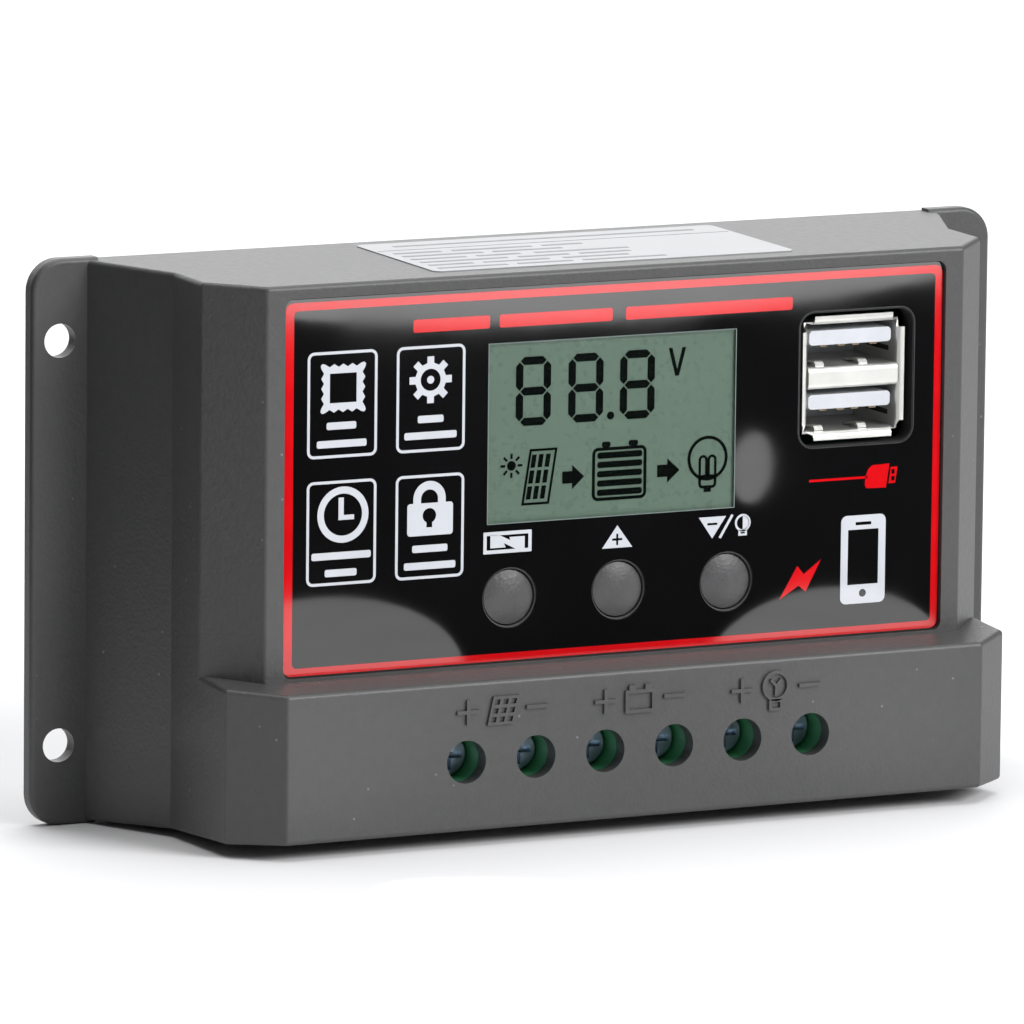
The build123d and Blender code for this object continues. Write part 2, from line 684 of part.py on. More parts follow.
def all_nodes():
    nodes = {
        "front_shell": front_shell(),
        "back_cover": back_cover(),
        "case_screws": case_screws(),
        "board_screws": board_screws(),
        "front_overlay": front_overlay(),
        "display_window": display_window(),
        "top_label": top_label(),
        "lcd_glass": lcd_glass(),
        "lcd_backlight": lcd_backlight(),
        "lcd_pins": lcd_pins(),
        "switch_bases": switch_bases(),
        "switch_covers": switch_covers(),
        "switch_pins": switch_pins(),
        "usb_shell": usb_shell(),
        "usb_insulator": usb_insulator(),
        "usb_contacts": usb_contacts(),
        "terminal_block": terminal_block(),
        "terminal_bars": terminal_bars(),
        "circuit_board": circuit_board(),
        "mosfet_bodies": mosfet_bodies(),
        "mosfet_tabs": mosfet_tabs(),
        "mosfet_leads": mosfet_leads(),
        "capacitor_cans": capacitor_cans(),
        "capacitor_bases": capacitor_bases(),
        "controller_chip": controller_chip(),
        "controller_leads": controller_leads(),
        "converter_chip": converter_chip(),
        "converter_leads": converter_leads(),
        "inductor": inductor(),
        "diodes": diodes(),
        "crystal": crystal(),
        "shunts": shunts(),
        "chip_resistors": chip_resistors(),
        "chip_capacitors": chip_capacitors(),
    }
    for number, x in enumerate(BUTTON_XS, start=1):
        nodes[f"button_cap_{number}"] = button_cap(x)
        nodes[f"switch_plunger_{number}"] = switch_plunger(x)
    for number, x in enumerate(TERMINAL_XS, start=1):
        nodes[f"terminal_screw_{number}"] = terminal_screw(x)
        nodes[f"terminal_cage_{number}"] = terminal_cage(x)
    return nodes


def lowered(node):
    """The node with its height measured from the centre of the mounting holes."""
    solids = [Pos(0, 0, -HEIGHT / 2) * solid for solid in node.solids()]
    return Compound(solids) if len(solids) > 1 else solids[0]


os.makedirs("parts", exist_ok=True)
for name, node in all_nodes().items():
    export_step(lowered(node), f"parts/{name}.step")
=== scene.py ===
import json
import math

import bmesh
import bpy
from mathutils import Matrix, Vector
from mathutils.geometry import tessellate_polygon


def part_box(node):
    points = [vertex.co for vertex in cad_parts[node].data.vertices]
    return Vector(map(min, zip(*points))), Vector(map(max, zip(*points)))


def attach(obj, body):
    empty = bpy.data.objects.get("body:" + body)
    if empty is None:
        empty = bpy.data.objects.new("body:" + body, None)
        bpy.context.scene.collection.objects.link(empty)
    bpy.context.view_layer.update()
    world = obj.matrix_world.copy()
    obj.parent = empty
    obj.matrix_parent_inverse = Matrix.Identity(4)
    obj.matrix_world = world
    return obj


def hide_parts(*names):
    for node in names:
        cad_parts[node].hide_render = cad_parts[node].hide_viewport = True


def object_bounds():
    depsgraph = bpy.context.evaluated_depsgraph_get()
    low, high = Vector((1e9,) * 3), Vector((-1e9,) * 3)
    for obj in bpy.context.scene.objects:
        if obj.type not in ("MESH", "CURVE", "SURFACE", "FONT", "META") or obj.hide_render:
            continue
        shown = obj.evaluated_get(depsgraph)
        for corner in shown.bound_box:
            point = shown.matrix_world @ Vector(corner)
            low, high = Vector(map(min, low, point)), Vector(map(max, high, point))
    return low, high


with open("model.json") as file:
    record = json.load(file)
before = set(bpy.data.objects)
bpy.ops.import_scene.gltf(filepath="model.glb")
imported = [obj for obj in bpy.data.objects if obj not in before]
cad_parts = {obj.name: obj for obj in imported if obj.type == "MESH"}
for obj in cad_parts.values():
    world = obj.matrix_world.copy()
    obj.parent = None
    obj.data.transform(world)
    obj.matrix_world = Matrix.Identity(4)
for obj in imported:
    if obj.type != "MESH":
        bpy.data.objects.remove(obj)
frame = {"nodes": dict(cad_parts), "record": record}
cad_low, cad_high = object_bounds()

# The looks of a wall-mounted charge controller. Blender works in metres. The drawings on the panel are laid
# out in millimetres: x from the middle of the case, and height above the lowest edge of the mounting ears.

MM = 0.001
BASE = cad_low.z

FILM_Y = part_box("front_overlay")[0].y
LIP_Y = cad_low.y
GLASS_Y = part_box("lcd_glass")[0].y
PRINT_PROUD = 0.02 * MM          # ink stands this far out of the film or the sticker
SYMBOL_PROUD = 0.35 * MM         # the moulded symbols stand this far out of the lip


# ---------------------------------------------------------------- colours and materials

def shade(red, green, blue):
    """A displayed colour from 0 to 255 as the linear colour that shaders use."""
    linear = []
    for value in (red, green, blue):
        share = value / 255
        linear.append(share / 12.92 if share <= 0.04045 else ((share + 0.055) / 1.055) ** 2.4)
    return (*linear, 1.0)


def scaled(color, factor):
    """A lighter or darker colour."""
    return (*(min(channel * factor, 1.0) for channel in color[:3]), 1.0)


def add_noise(nodes, links, coordinates, scale, detail=3.0, stretch=None):
    """Noise over the object's own coordinates, in features per metre. Stretch scales it along each axis."""
    noise = nodes.new("ShaderNodeTexNoise")
    noise.inputs["Scale"].default_value = scale
    noise.inputs["Detail"].default_value = detail
    source = coordinates
    if stretch:
        mapping = nodes.new("ShaderNodeMapping")
        mapping.inputs["Scale"].default_value = stretch
        links.new(coordinates, mapping.inputs["Vector"])
        source = mapping.outputs["Vector"]
    links.new(source, noise.inputs["Vector"])
    return noise.outputs["Fac"]


def add_range(nodes, links, value, low, high, start=0.3, end=0.7):
    """Maps a value that runs from start to end to one that runs from low to high."""
    node = nodes.new("ShaderNodeMapRange")
    node.inputs["From Min"].default_value = start
    node.inputs["From Max"].default_value = end
    node.inputs["To Min"].default_value = low
    node.inputs["To Max"].default_value = high
    links.new(value, node.inputs["Value"])
    return node.outputs["Result"]


def add_mix(nodes, links, factor, first, second):
    """Mixes two colours by a factor. The first may be a socket."""
    mix = nodes.new("ShaderNodeMix")
    mix.data_type = "RGBA"
    links.new(factor, mix.inputs["Factor"])
    if isinstance(first, bpy.types.NodeSocket):
        links.new(first, mix.inputs["A"])
    else:
        mix.inputs["A"].default_value = first
    mix.inputs["B"].default_value = second
    return mix.outputs["Result"]


DUST_COLOR = shade(150, 150, 152)
DUST_COVER = 0.4                 # how much of the dust's colour shows in the middle of a speck
DUST_EDGE = (0.03, 0.06)         # where a speck starts to fade and where it ends, as shares of the spacing
GRAIN_STRENGTH = 0.6
LEAST_ROUGHNESS = 0.01


def surface(name, color, roughness, metallic=0.0, tint=0.15, spread=0.05, patch=300.0,
            grain=3000.0, depth=0.01, stretch=None, specks=None, alpha=1.0, coat=0.0, shine=0.5):
    """A finish whose colour, roughness and grain all vary.

    Tint is how far the colour varies, as a share of it, and spread how far the roughness does. Grain is a fine
    bump, and depth its height in millimetres. Specks, if given, are small pale dots. Patch, grain and specks
    count features per metre.
    """
    material = bpy.data.materials.new(name)
    material.use_nodes = True
    nodes, links = material.node_tree.nodes, material.node_tree.links
    shader = nodes["Principled BSDF"]
    coordinates = nodes.new("ShaderNodeTexCoord").outputs["Object"]
    blotches = add_noise(nodes, links, coordinates, patch, 4.0, stretch)
    mottle = add_range(nodes, links, blotches, 0.0, 1.0)
    tinted = add_mix(nodes, links, mottle, scaled(color, 1 - tint), scaled(color, 1 + tint))
    if specks:
        dust = nodes.new("ShaderNodeTexVoronoi")
        dust.inputs["Scale"].default_value = specks
        links.new(coordinates, dust.inputs["Vector"])
        spot = add_range(nodes, links, dust.outputs["Distance"], DUST_COVER, 0.0, *DUST_EDGE)
        tinted = add_mix(nodes, links, spot, tinted, DUST_COLOR)
    links.new(tinted, shader.inputs["Base Color"])
    smoothest = max(roughness - spread, LEAST_ROUGHNESS)
    rough = add_range(nodes, links, blotches, smoothest, roughness + spread)
    links.new(rough, shader.inputs["Roughness"])
    bump = nodes.new("ShaderNodeBump")
    bump.inputs["Strength"].default_value = GRAIN_STRENGTH
    bump.inputs["Distance"].default_value = depth * MM
    links.new(add_noise(nodes, links, coordinates, grain, 3.0, stretch), bump.inputs["Height"])
    links.new(bump.outputs["Normal"], shader.inputs["Normal"])
    shader.inputs["Metallic"].default_value = metallic
    shader.inputs["Coat Weight"].default_value = coat
    shader.inputs["Specular IOR Level"].default_value = shine
    shader.inputs["Alpha"].default_value = alpha
    return material


BRUSHED = (1.0, 0.08, 1.0)       # grain drawn out along Y
DRAWN_UP = (1.0, 1.0, 0.1)       # grain drawn out along Z

LOOKS = {                        # by material slot
    "case_plastic": dict(
        color=shade(67, 67, 67), roughness=0.44, tint=0.06, spread=0.02,
        patch=900, grain=2000, depth=0.09, specks=300,
    ),
    "cover_plastic": dict(
        color=shade(60, 60, 61), roughness=0.5, tint=0.05, spread=0.02, patch=900, grain=2200, depth=0.04,
    ),
    "screw_steel": dict(color=shade(146, 164, 178), roughness=0.3, metallic=1.0, grain=4000, depth=0.012),
    "printed_film": dict(
        color=shade(12, 12, 13), roughness=0.035, spread=0.01, patch=60, grain=90, depth=0.003,
    ),
    "clear_film": dict(
        color=shade(20, 26, 23), roughness=0.06, spread=0.02, grain=90, depth=0.002, alpha=0.06,
    ),
    "label_paper": dict(color=shade(170, 171, 173), roughness=0.5, tint=0.03, grain=1800, shine=0.2),
    "lcd_glass": dict(
        color=shade(96, 117, 103), roughness=0.3, tint=0.012, patch=1100, grain=700, depth=0.001, shine=0.3,
    ),
    "diffuser": dict(color=shade(232, 238, 234), roughness=0.4, tint=0.04),
    "tinned_metal": dict(color=shade(214, 215, 218), roughness=0.26, metallic=1.0, grain=2500),
    # real gold plating, dulled and darkened as painted shade, since the contacts sit under the tongues
    "gold_contact": dict(color=shade(128, 116, 96), roughness=0.4, metallic=1.0, grain=3500),
    "button_plastic": dict(
        color=shade(66, 66, 67), roughness=0.42, tint=0.08, patch=1200, grain=2400, depth=0.09,
    ),
    "switch_plastic": dict(color=shade(44, 44, 45), roughness=0.5),
    "stamped_steel": dict(
        color=shade(214, 214, 210), roughness=0.36, metallic=0.85, tint=0.05, stretch=BRUSHED, depth=0.006,
    ),
    "white_plastic": dict(color=shade(200, 203, 209), roughness=0.34, tint=0.04, coat=0.2),
    "terminal_plastic": dict(color=shade(72, 150, 104), roughness=0.4, grain=2400, depth=0.02),
    "terminal_metal": dict(color=shade(190, 196, 206), roughness=0.3, metallic=1.0),
    "board_laminate": dict(color=shade(24, 112, 62), roughness=0.3, tint=0.3, patch=500, coat=0.4),
    "chip_epoxy": dict(color=shade(42, 42, 44), roughness=0.6, depth=0.03),
    "capacitor_metal": dict(color=shade(206, 208, 211), roughness=0.3, metallic=1.0, stretch=DRAWN_UP),
    "rubber_bung": dict(color=shade(38, 38, 38), roughness=0.75),
    "ferrite": dict(color=shade(92, 92, 95), roughness=0.7, depth=0.04),
    "shunt_alloy": dict(color=shade(192, 178, 160), roughness=0.34, metallic=1.0, stretch=BRUSHED),
    "resistor_body": dict(color=shade(50, 50, 54), roughness=0.35),
    "capacitor_ceramic": dict(color=shade(186, 158, 124), roughness=0.5),
}
FINISHES = {name: surface(name, **look) for name, look in LOOKS.items()}

RED_INK = surface("red_ink", shade(205, 12, 20), 0.06, tint=0.05, spread=0.01, grain=90, depth=0.002)
WHITE_INK = surface("white_ink", shade(200, 203, 209), 0.06, tint=0.03, spread=0.01, grain=90, depth=0.002)
BLACK_SEGMENT = surface("black_segment", shade(3, 8, 6), 0.6, tint=0.1, grain=900, depth=0.001, shine=0.02)
LABEL_INK = surface("label_ink", shade(112, 114, 118), 0.5, tint=0.08)
# painted highlight on the film's cut edge round the sockets
OPENING_EDGE_HIGHLIGHT = surface("opening_edge_highlight", shade(34, 34, 36), 0.3, tint=0.08)
# painted highlight on the display window's cut edge
WINDOW_EDGE_HIGHLIGHT = surface("window_edge_highlight", shade(112, 126, 122), 0.3, tint=0.08)
# painted shade inside the socket opening and in the ports' wall slots
SLOT_SHADOW = surface("slot_shadow", shade(16, 16, 18), 0.7, tint=0.1)


def finish_cad_nodes():
    """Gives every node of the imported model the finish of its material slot."""
    for part in frame["record"]["subparts"]:
        node = frame["nodes"][part["node"]]
        node.data.materials.clear()
        node.data.materials.append(FINISHES[part["material_slot"]])


# ---------------------------------------------------------------- outlines, in millimetres

def box_loop(left, right, low, high):
    return [(left, low), (right, low), (right, high), (left, high)]


def arc(x, z, radius, start, end, steps):
    """Points along an arc, by angles in degrees."""
    points = []
    for step in range(steps + 1):
        angle = math.radians(start + (end - start) * step / steps)
        points.append((x + radius * math.cos(angle), z + radius * math.sin(angle)))
    return points


def circle(x, z, radius, steps=36):
    return arc(x, z, radius, 0, 360, steps)[:-1]


def rounded_loop(left, right, low, high, radius, steps=6):
    """A box outline with round corners."""
    corners = (
        (right - radius, high - radius, 0),
        (left + radius, high - radius, 90),
        (left + radius, low + radius, 180),
        (right - radius, low + radius, 270),
    )
    return [point for x, z, turn in corners for point in arc(x, z, radius, turn, turn + 90, steps)]


def framed(left, right, low, high, radius, line):
    """A rounded outline of the given line width, as one outline with a hole."""
    inner = rounded_loop(left + line, right - line, low + line, high - line, max(radius - line, 0.05))
    return [rounded_loop(left, right, low, high, radius), inner]


def ring(x, z, radius, line):
    """A circle of the given line width, as an outline with a hole."""
    return [circle(x, z, radius), circle(x, z, radius - line)]


def stroke(x0, z0, x1, z1, line):
    """A straight line of the given width."""
    length = math.hypot(x1 - x0, z1 - z0)
    across = (-(z1 - z0) / length * line / 2, (x1 - x0) / length * line / 2)
    return [
        (x0 + across[0], z0 + across[1]),
        (x0 - across[0], z0 - across[1]),
        (x1 - across[0], z1 - across[1]),
        (x1 + across[0], z1 + across[1]),
    ]


def plus_loop(x, z, reach, line):
    half = line / 2
    return [
        (x - half, z - reach), (x + half, z - reach), (x + half, z - half), (x + reach, z - half),
        (x + reach, z + half), (x + half, z + half), (x + half, z + reach), (x - half, z + reach),
        (x - half, z + half), (x - reach, z + half), (x - reach, z - half), (x - half, z - half),
    ]


def minus_loop(x, z, reach, line):
    return box_loop(x - reach, x + reach, z - line / 2, z + line / 2)


def leaning_cells(left, right, low, high, lean, count, gap):
    """A grid of cells whose columns lean to the right."""
    cells = []
    width = (right - left - gap * (count - 1)) / count
    height = (high - low - gap * (count - 1)) / count
    for row in range(count):
        z0 = low + row * (height + gap)
        z1 = z0 + height
        lean0, lean1 = lean * (z0 - low) / (high - low), lean * (z1 - low) / (high - low)
        for column in range(count):
            x0 = left + column * (width + gap)
            x1 = x0 + width
            cells.append([[(x0 + lean0, z0), (x1 + lean0, z0), (x1 + lean1, z1), (x0 + lean1, z1)]])
    return cells


def arrow_loop(left, right, low, high):
    """A broad arrow that points to the right."""
    middle = (low + high) / 2
    neck = left + (right - left) * 0.45
    stem = (high - low) * 0.25
    return [
        (left, middle - stem), (neck, middle - stem), (neck, low), (right, middle),
        (neck, high), (neck, middle + stem), (left, middle + stem),
    ]


def gear_loop(x, z, root, tip, teeth, tooth_share):
    """A gear's outline. The teeth taper: a foot is wider than a tip."""
    half_tip = 180 / teeth * tooth_share
    half_foot = half_tip * 1.4
    points = []
    for tooth in range(teeth):
        centre = 360 * tooth / teeth
        for radius, turn in ((root, -half_foot), (tip, -half_tip), (tip, half_tip), (root, half_foot)):
            angle = math.radians(centre + turn)
            points.append((x + radius * math.cos(angle), z + radius * math.sin(angle)))
    return points


def stamp_loop(x, z, half):
    """A square with blunt corner tips and zigzag sides, like a postage stamp."""
    blunt, peak, notch, spacing = 0.92, 0.97, 0.85, 0.2      # as shares of the half width
    side = [(-1.0, blunt), (-blunt, 1.0)]
    for step in range(-4, 5):
        side.append((step * spacing, peak if step % 2 == 0 else notch))
    points = []
    for along, out in ((1, 0), (0, -1), (-1, 0), (0, 1)):
        for u, v in side:
            points.append((x + half * (u * along - v * out), z + half * (u * out + v * along)))
    return points


# ---------------------------------------------------------------- pieces from outlines

def add_object(name, mesh, material):
    """Turns a bmesh into an object in the scene."""
    data = bpy.data.meshes.new(name)
    mesh.to_mesh(data)
    mesh.free()
    data.materials.append(material)
    made = bpy.data.objects.new(name, data)
    bpy.context.scene.collection.objects.link(made)
    return made


def piece(name, mesh, material):
    """Turns a bmesh into a piece that rides on the case."""
    bmesh.ops.recalc_face_normals(mesh, faces=mesh.faces)
    made = add_object(name, mesh, material)
    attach(made, "case")
    return made


def add_slab(mesh, loops, front, back, place):
    """Adds one closed slab: an outline, with any holes in it, between two depths."""
    points = [point for loop in loops for point in loop]
    fronts = [mesh.verts.new(place(x, z, front)) for x, z in points]
    backs = [mesh.verts.new(place(x, z, back)) for x, z in points]
    flat = [[Vector((x, z, 0)) for x, z in loop] for loop in loops]
    for a, b, c in tessellate_polygon(flat):
        mesh.faces.new((fronts[a], fronts[b], fronts[c]))
        mesh.faces.new((backs[c], backs[b], backs[a]))
    start = 0
    for loop in loops:
        for index in range(len(loop)):
            here, there = start + index, start + (index + 1) % len(loop)
            mesh.faces.new((fronts[here], backs[here], backs[there], fronts[there]))
        start += len(loop)


def upright(x, height, y):
    """A place on a drawing that faces the front. The depth is in metres, the rest in millimetres."""
    return Vector((x * MM, y, BASE + height * MM))


def drawing(name, shapes, material, slot, front, back):
    """A piece made of flat shapes that face the front. Each shape is an outline and its holes."""
    mesh = bmesh.new()
    for loops in shapes:
        add_slab(mesh, loops, front, back, upright)
    return piece(name, mesh, material)


def printed(name, shapes, material):
    """Ink on the front film."""
    return drawing(name, shapes, material, "printed_film", FILM_Y - PRINT_PROUD, FILM_Y + PRINT_PROUD)


# ---------------------------------------------------------------- the printed panel

TITLE_WORDS = ((-28.0, -17.6), (-16.3, -0.8), (1.0, 24.2))
TITLE_HEIGHTS = (62.45, 64.05)
TITLE_RADIUS = 0.3
ICON_COLUMNS = ((-42.2, -32.8), (-30.2, -20.9))
ICON_ROWS = ((47.8, 60.8), (32.2, 45.0))
ICON_RADIUS = 0.9
ICON_LINE = 0.35
CAPTION_HEIGHT = 0.9
CAPTION_RADIUS = 0.25
CAPTIONS = (                     # left, right and height of each bar
    (-39.6, -35.6, 51.7), (-40.9, -34.2, 49.5),
    (-27.3, -23.8, 51.8), (-29.1, -22.0, 49.8),
    (-41.5, -33.5, 35.8), (-39.7, -35.4, 33.7),
    (-27.9, -23.1, 35.9), (-29.0, -22.0, 33.8),
)


def make_border():
    """The red line round the panel, wider at the left."""
    outer = rounded_loop(-45.2, 45.3, 21.35, 66.95, 1.0)
    inner = rounded_loop(-44.05, 44.3, 22.3, 65.95, 0.6)
    printed("panel_border", [[outer, inner]], RED_INK)


def make_title_bars():
    """Three bars in place of the title's words."""
    low, high = TITLE_HEIGHTS
    shapes = [[rounded_loop(left, right, low, high, TITLE_RADIUS)] for left, right in TITLE_WORDS]
    printed("title_bars", shapes, RED_INK)


def make_icon_frames():
    """Four frames, one round each pictogram and its caption."""
    shapes = [framed(*column, *row, ICON_RADIUS, ICON_LINE) for row in ICON_ROWS for column in ICON_COLUMNS]
    printed("icon_frames", shapes, WHITE_INK)


def make_caption_bars():
    """Two bars under each pictogram in place of its caption."""
    half = CAPTION_HEIGHT / 2
    shapes = [[rounded_loop(left, right, z - half, z + half, CAPTION_RADIUS)] for left, right, z in CAPTIONS]
    printed("caption_bars", shapes, WHITE_INK)


def make_chip_icon():
    """A square frame with a zigzag outer edge."""
    x, z, half, hole = -37.4, 56.3, 3.05, 1.8
    shape = [stamp_loop(x, z, half), box_loop(x - hole, x + hole, z - hole, z + hole)]
    printed("chip_icon", [shape], WHITE_INK)


def make_gear_icon():
    x, z = -25.6, 56.6
    shapes = [[gear_loop(x, z, 2.1, 2.9, 8, 0.4), circle(x, z, 1.35)], [circle(x, z, 0.48)]]
    printed("gear_icon", shapes, WHITE_INK)


def make_clock_icon():
    hands = [
        (-37.9, 40.15), (-35.8, 40.15), (-35.8, 40.75), (-37.2, 40.75), (-37.2, 42.9), (-37.9, 42.9),
    ]
    printed("clock_icon", [ring(-37.3, 40.8, 3.45, 0.87), [hands]], WHITE_INK)


def make_padlock_icon():
    x = -25.6
    keyhole = arc(x, 39.95, 0.92, -65, 245, 20) + [(x - 0.4, 38.5), (x + 0.4, 38.5)]
    body = [rounded_loop(-28.6, -22.4, 37.5, 41.5, 0.4), keyhole]
    outer = [(-23.4, 41.5)] + arc(x, 42.0, 2.2, 0, 180, 20) + [(-27.8, 41.5)]
    inner = [(-26.75, 41.5)] + arc(x, 42.0, 1.15, 180, 0, 20) + [(-24.45, 41.5)]
    printed("padlock_icon", [body, [outer + inner]], WHITE_INK)


def make_charge_icon():
    """A battery outline whose filling is split by a bolt."""
    filling = (
        (0.95, 2.3), (2.1, 2.3), (3.7, 1.55), (3.55, 1.95), (5.65, 1.95),
        (5.65, 0.45), (4.4, 0.45), (2.8, 1.25), (3.05, 0.7), (0.95, 0.7),
    )
    left, low = -18.2, 34.65
    bolt = [(left + x, low + z) for x, z in filling]
    printed("charge_icon", [framed(left, left + 6.6, low, low + 2.7, 0.1, 0.45), [bolt]], WHITE_INK)


def make_step_icons():
    """An upward triangle with a plus, and a downward one with a minus beside a small lamp."""
    up = [[(-1.9, 34.3), (2.3, 34.3), (0.2, 37.1)], plus_loop(0.2, 35.35, 0.7, 0.28)]
    down = [[(11.5, 37.3), (13.4, 34.6), (15.3, 37.3)], minus_loop(13.4, 36.4, 0.7, 0.28)]
    slash = [stroke(14.45, 34.6, 16.2, 37.4, 0.34)]
    half_lamp = [arc(17.65, 36.3, 0.9, -90, 90, 14)]
    socket = [box_loop(17.05, 18.25, 34.7, 35.4), box_loop(17.35, 17.95, 34.95, 35.15)]
    shapes = [up, down, slash, ring(17.65, 36.3, 1.1, 0.28), half_lamp, socket]
    printed("step_icons", shapes, WHITE_INK)


def make_plug_icon():
    """A plain plug on its cable."""
    cable = [box_loop(26.9, 35.1, 40.75, 41.05)]
    body = [[
        (35.0, 39.5), (37.75, 39.45), (38.2, 42.45), (35.75, 42.35),
        (35.2, 41.9), (34.8, 40.9), (34.75, 39.9),
    ]]
    tip = [[(38.1, 39.95), (39.05, 39.95), (39.35, 42.0), (38.4, 42.0)]]
    tip += [box_loop(38.5, 38.95, z - 0.28, z + 0.28) for z in (40.55, 41.4)]
    printed("plug_icon", [cable, body, tip], RED_INK)


def make_bolt_icon():
    bolt = [(22.9, 26.3), (25.6, 27.9), (26.6, 27.1), (28.7, 31.0), (26.3, 29.3), (25.4, 30.4)]
    printed("bolt_icon", [[bolt]], RED_INK)


def make_phone_icon():
    """A phone, with holes for its screen, speaker and button."""
    phone = [
        rounded_loop(31.5, 37.8, 25.1, 36.2, 0.8),
        box_loop(32.5, 36.8, 27.5, 34.4),
        box_loop(33.55, 35.75, 34.95, 35.35),
        circle(34.65, 26.4, 0.5, 16),
    ]
    printed("phone_icon", [phone], WHITE_INK)


SOCKET_OPENING = (25.3, 41.4, 45.05, 61.95)      # left, right, low and high
OPENING_RADIUS = 2.0
RIM_WIDTH = 0.15
# The painted shade inside the opening round the sockets.
OPENING_SHADE_INSETS = (0.02, 0.14)     # of its outside and its inside from the opening
OPENING_SHADE_Y = (FILM_Y + 0.05 * MM, FILM_Y + 2.6 * MM)


def opening_loop(inset):
    """The outline of the opening for the sockets, made smaller all round by the inset."""
    left, right, low, high = SOCKET_OPENING
    return rounded_loop(left + inset, right - inset, low + inset, high - inset, OPENING_RADIUS - inset)


def make_socket_rim():
    """A pale line on the film's cut edge round the sockets: a painted highlight."""
    printed("socket_rim", [[opening_loop(-RIM_WIDTH), opening_loop(0.0)]], OPENING_EDGE_HIGHLIGHT)


# ---------------------------------------------------------------- the display

DIGIT_LEFTS = (-13.8, -6.6, 0.5)
DIGIT_WIDTH = 4.8
DIGIT_HEIGHTS = (50.1, 58.6)
SEGMENT = 1.0                    # width of a digit's bars
SEGMENT_GAP = 0.13               # between a bar's point and the corner it aims at
SEGMENT_FRONT = GLASS_Y - 0.04 * MM
SEGMENT_BACK = GLASS_Y - 0.01 * MM


def segment_bar(x0, z0, x1, z1):
    """A bar with pointed ends, along or up."""
    half = SEGMENT / 2
    if z0 == z1:
        return [(x0, z0), (x0 + half, z0 - half), (x1 - half, z0 - half),
                (x1, z0), (x1 - half, z0 + half), (x0 + half, z0 + half)]
    return [(x0, z0), (x0 + half, z0 + half), (x0 + half, z1 - half),
            (x0, z1), (x0 - half, z1 - half), (x0 - half, z0 + half)]


def digit_shapes(left):
    """Seven bars, a hair apart, whose pointed ends cut the digit's corners."""
    half, gap = SEGMENT / 2, SEGMENT_GAP
    x0, x1 = left + half, left + DIGIT_WIDTH - half
    low, high = DIGIT_HEIGHTS[0] + half, DIGIT_HEIGHTS[1] - half
    middle = (low + high) / 2
    shapes = [[segment_bar(x0 + gap, z, x1 - gap, z)] for z in (low, middle, high)]
    for x in (x0, x1):
        shapes.append([segment_bar(x, low + gap, x, middle - gap)])
        shapes.append([segment_bar(x, middle + gap, x, high - gap)])
    return shapes


def number_shapes():
    """Three digits, the point before the last and the sign for volts."""
    shapes = [shape for left in DIGIT_LEFTS for shape in digit_shapes(left)]
    point = circle(-0.75, 50.7, 0.5, 20)
    volts = [(7.2, 58.6), (8.15, 55.1), (8.65, 55.1), (9.6, 58.6), (9.1, 58.6), (8.4, 55.9), (7.7, 58.6)]
    return shapes + [[point], [volts]]


def sun_shapes():
    """A disc with eight rays."""
    x, z, start, end = -14.3, 45.3, 0.85, 1.5
    shapes = [[circle(x, z, 0.6, 20)]]
    for ray in range(8):
        angle = math.radians(45 * ray)
        across, up = math.cos(angle), math.sin(angle)
        shapes.append([stroke(x + start * across, z + start * up, x + end * across, z + end * up, 0.3)])
    return shapes


def leaning_frame(left, right, low, high, lean, line):
    """The outline of a parallelogram, as an outline with a hole."""
    outer = [(left, low), (right, low), (right + lean, high), (left + lean, high)]
    shift = lean * line / (high - low)
    inner = [
        (left + line + shift, low + line), (right - line + shift, low + line),
        (right - line + lean - shift, high - line), (left + line + lean - shift, high - line),
    ]
    return [outer, inner]


def battery_shapes():
    """A framed battery with two posts and five level bars."""
    half_bar = 0.39
    shapes = [framed(-3.2, 4.3, 40.2, 46.8, 0.8, 0.4)]
    for left, right in ((-1.9, -0.7), (1.8, 3.1)):
        shapes.append([rounded_loop(left, right, 46.8, 47.5, 0.3)])
    for height in (45.8, 44.65, 43.5, 42.35, 41.2):
        shapes.append([rounded_loop(-2.5, 3.7, height - half_bar, height + half_bar, 0.3)])
    return shapes


def lamp_shapes():
    """A round lamp with two loops of filament, on a cup."""
    x, z = 12.8, 44.6
    shapes = [ring(x, z, 2.8, 0.4), framed(x - 1.25, x + 1.25, 40.85, 42.55, 0.6, 0.36)]
    shapes.append([box_loop(x - 0.5, x + 0.5, 40.4, 40.9)])
    for centre in (x - 0.62, x + 0.62):
        outer = arc(centre, 44.4, 0.62, 180, 0, 12)
        inner = arc(centre, 44.4, 0.3, 0, 180, 12)
        loop = [(centre - 0.62, 42.4)] + outer + [(centre + 0.62, 42.4), (centre + 0.3, 42.4)] + inner
        shapes.append([loop + [(centre - 0.3, 42.4)]])
    return shapes


def display_shapes():
    """The digits, and under them a sun, a solar panel, a battery and a lamp with arrows between."""
    shapes = number_shapes() + sun_shapes() + battery_shapes() + lamp_shapes()
    shapes.append(leaning_frame(-12.9, -9.1, 40.3, 47.2, 1.1, 0.3))
    shapes += leaning_cells(-12.3, -9.75, 41.0, 46.5, 0.84, 3, 0.34)
    shapes.append([arrow_loop(-7.3, -4.3, 41.9, 44.9)])
    shapes.append([arrow_loop(5.8, 8.9, 41.9, 44.9)])
    return shapes


def make_display():
    """Dark segments just in front of the display glass."""
    shapes = display_shapes()
    drawing("display_segments", shapes, BLACK_SEGMENT, "lcd_glass", SEGMENT_FRONT, SEGMENT_BACK)


def make_window_rim():
    """The cut edge of the display window, a thin pale line: a painted highlight."""
    low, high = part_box("display_window")
    left, right = low.x / MM, high.x / MM
    bottom, top = (low.z - BASE) / MM, (high.z - BASE) / MM
    outset, inset = 0.05, 0.06
    outer = box_loop(left - outset, right + outset, bottom - outset, top + outset)
    inner = box_loop(left + inset, right - inset, bottom + inset, top - inset)
    printed("window_rim", [[outer, inner]], WINDOW_EDGE_HIGHLIGHT)


# ---------------------------------------------------------------- moulded symbols on the lip

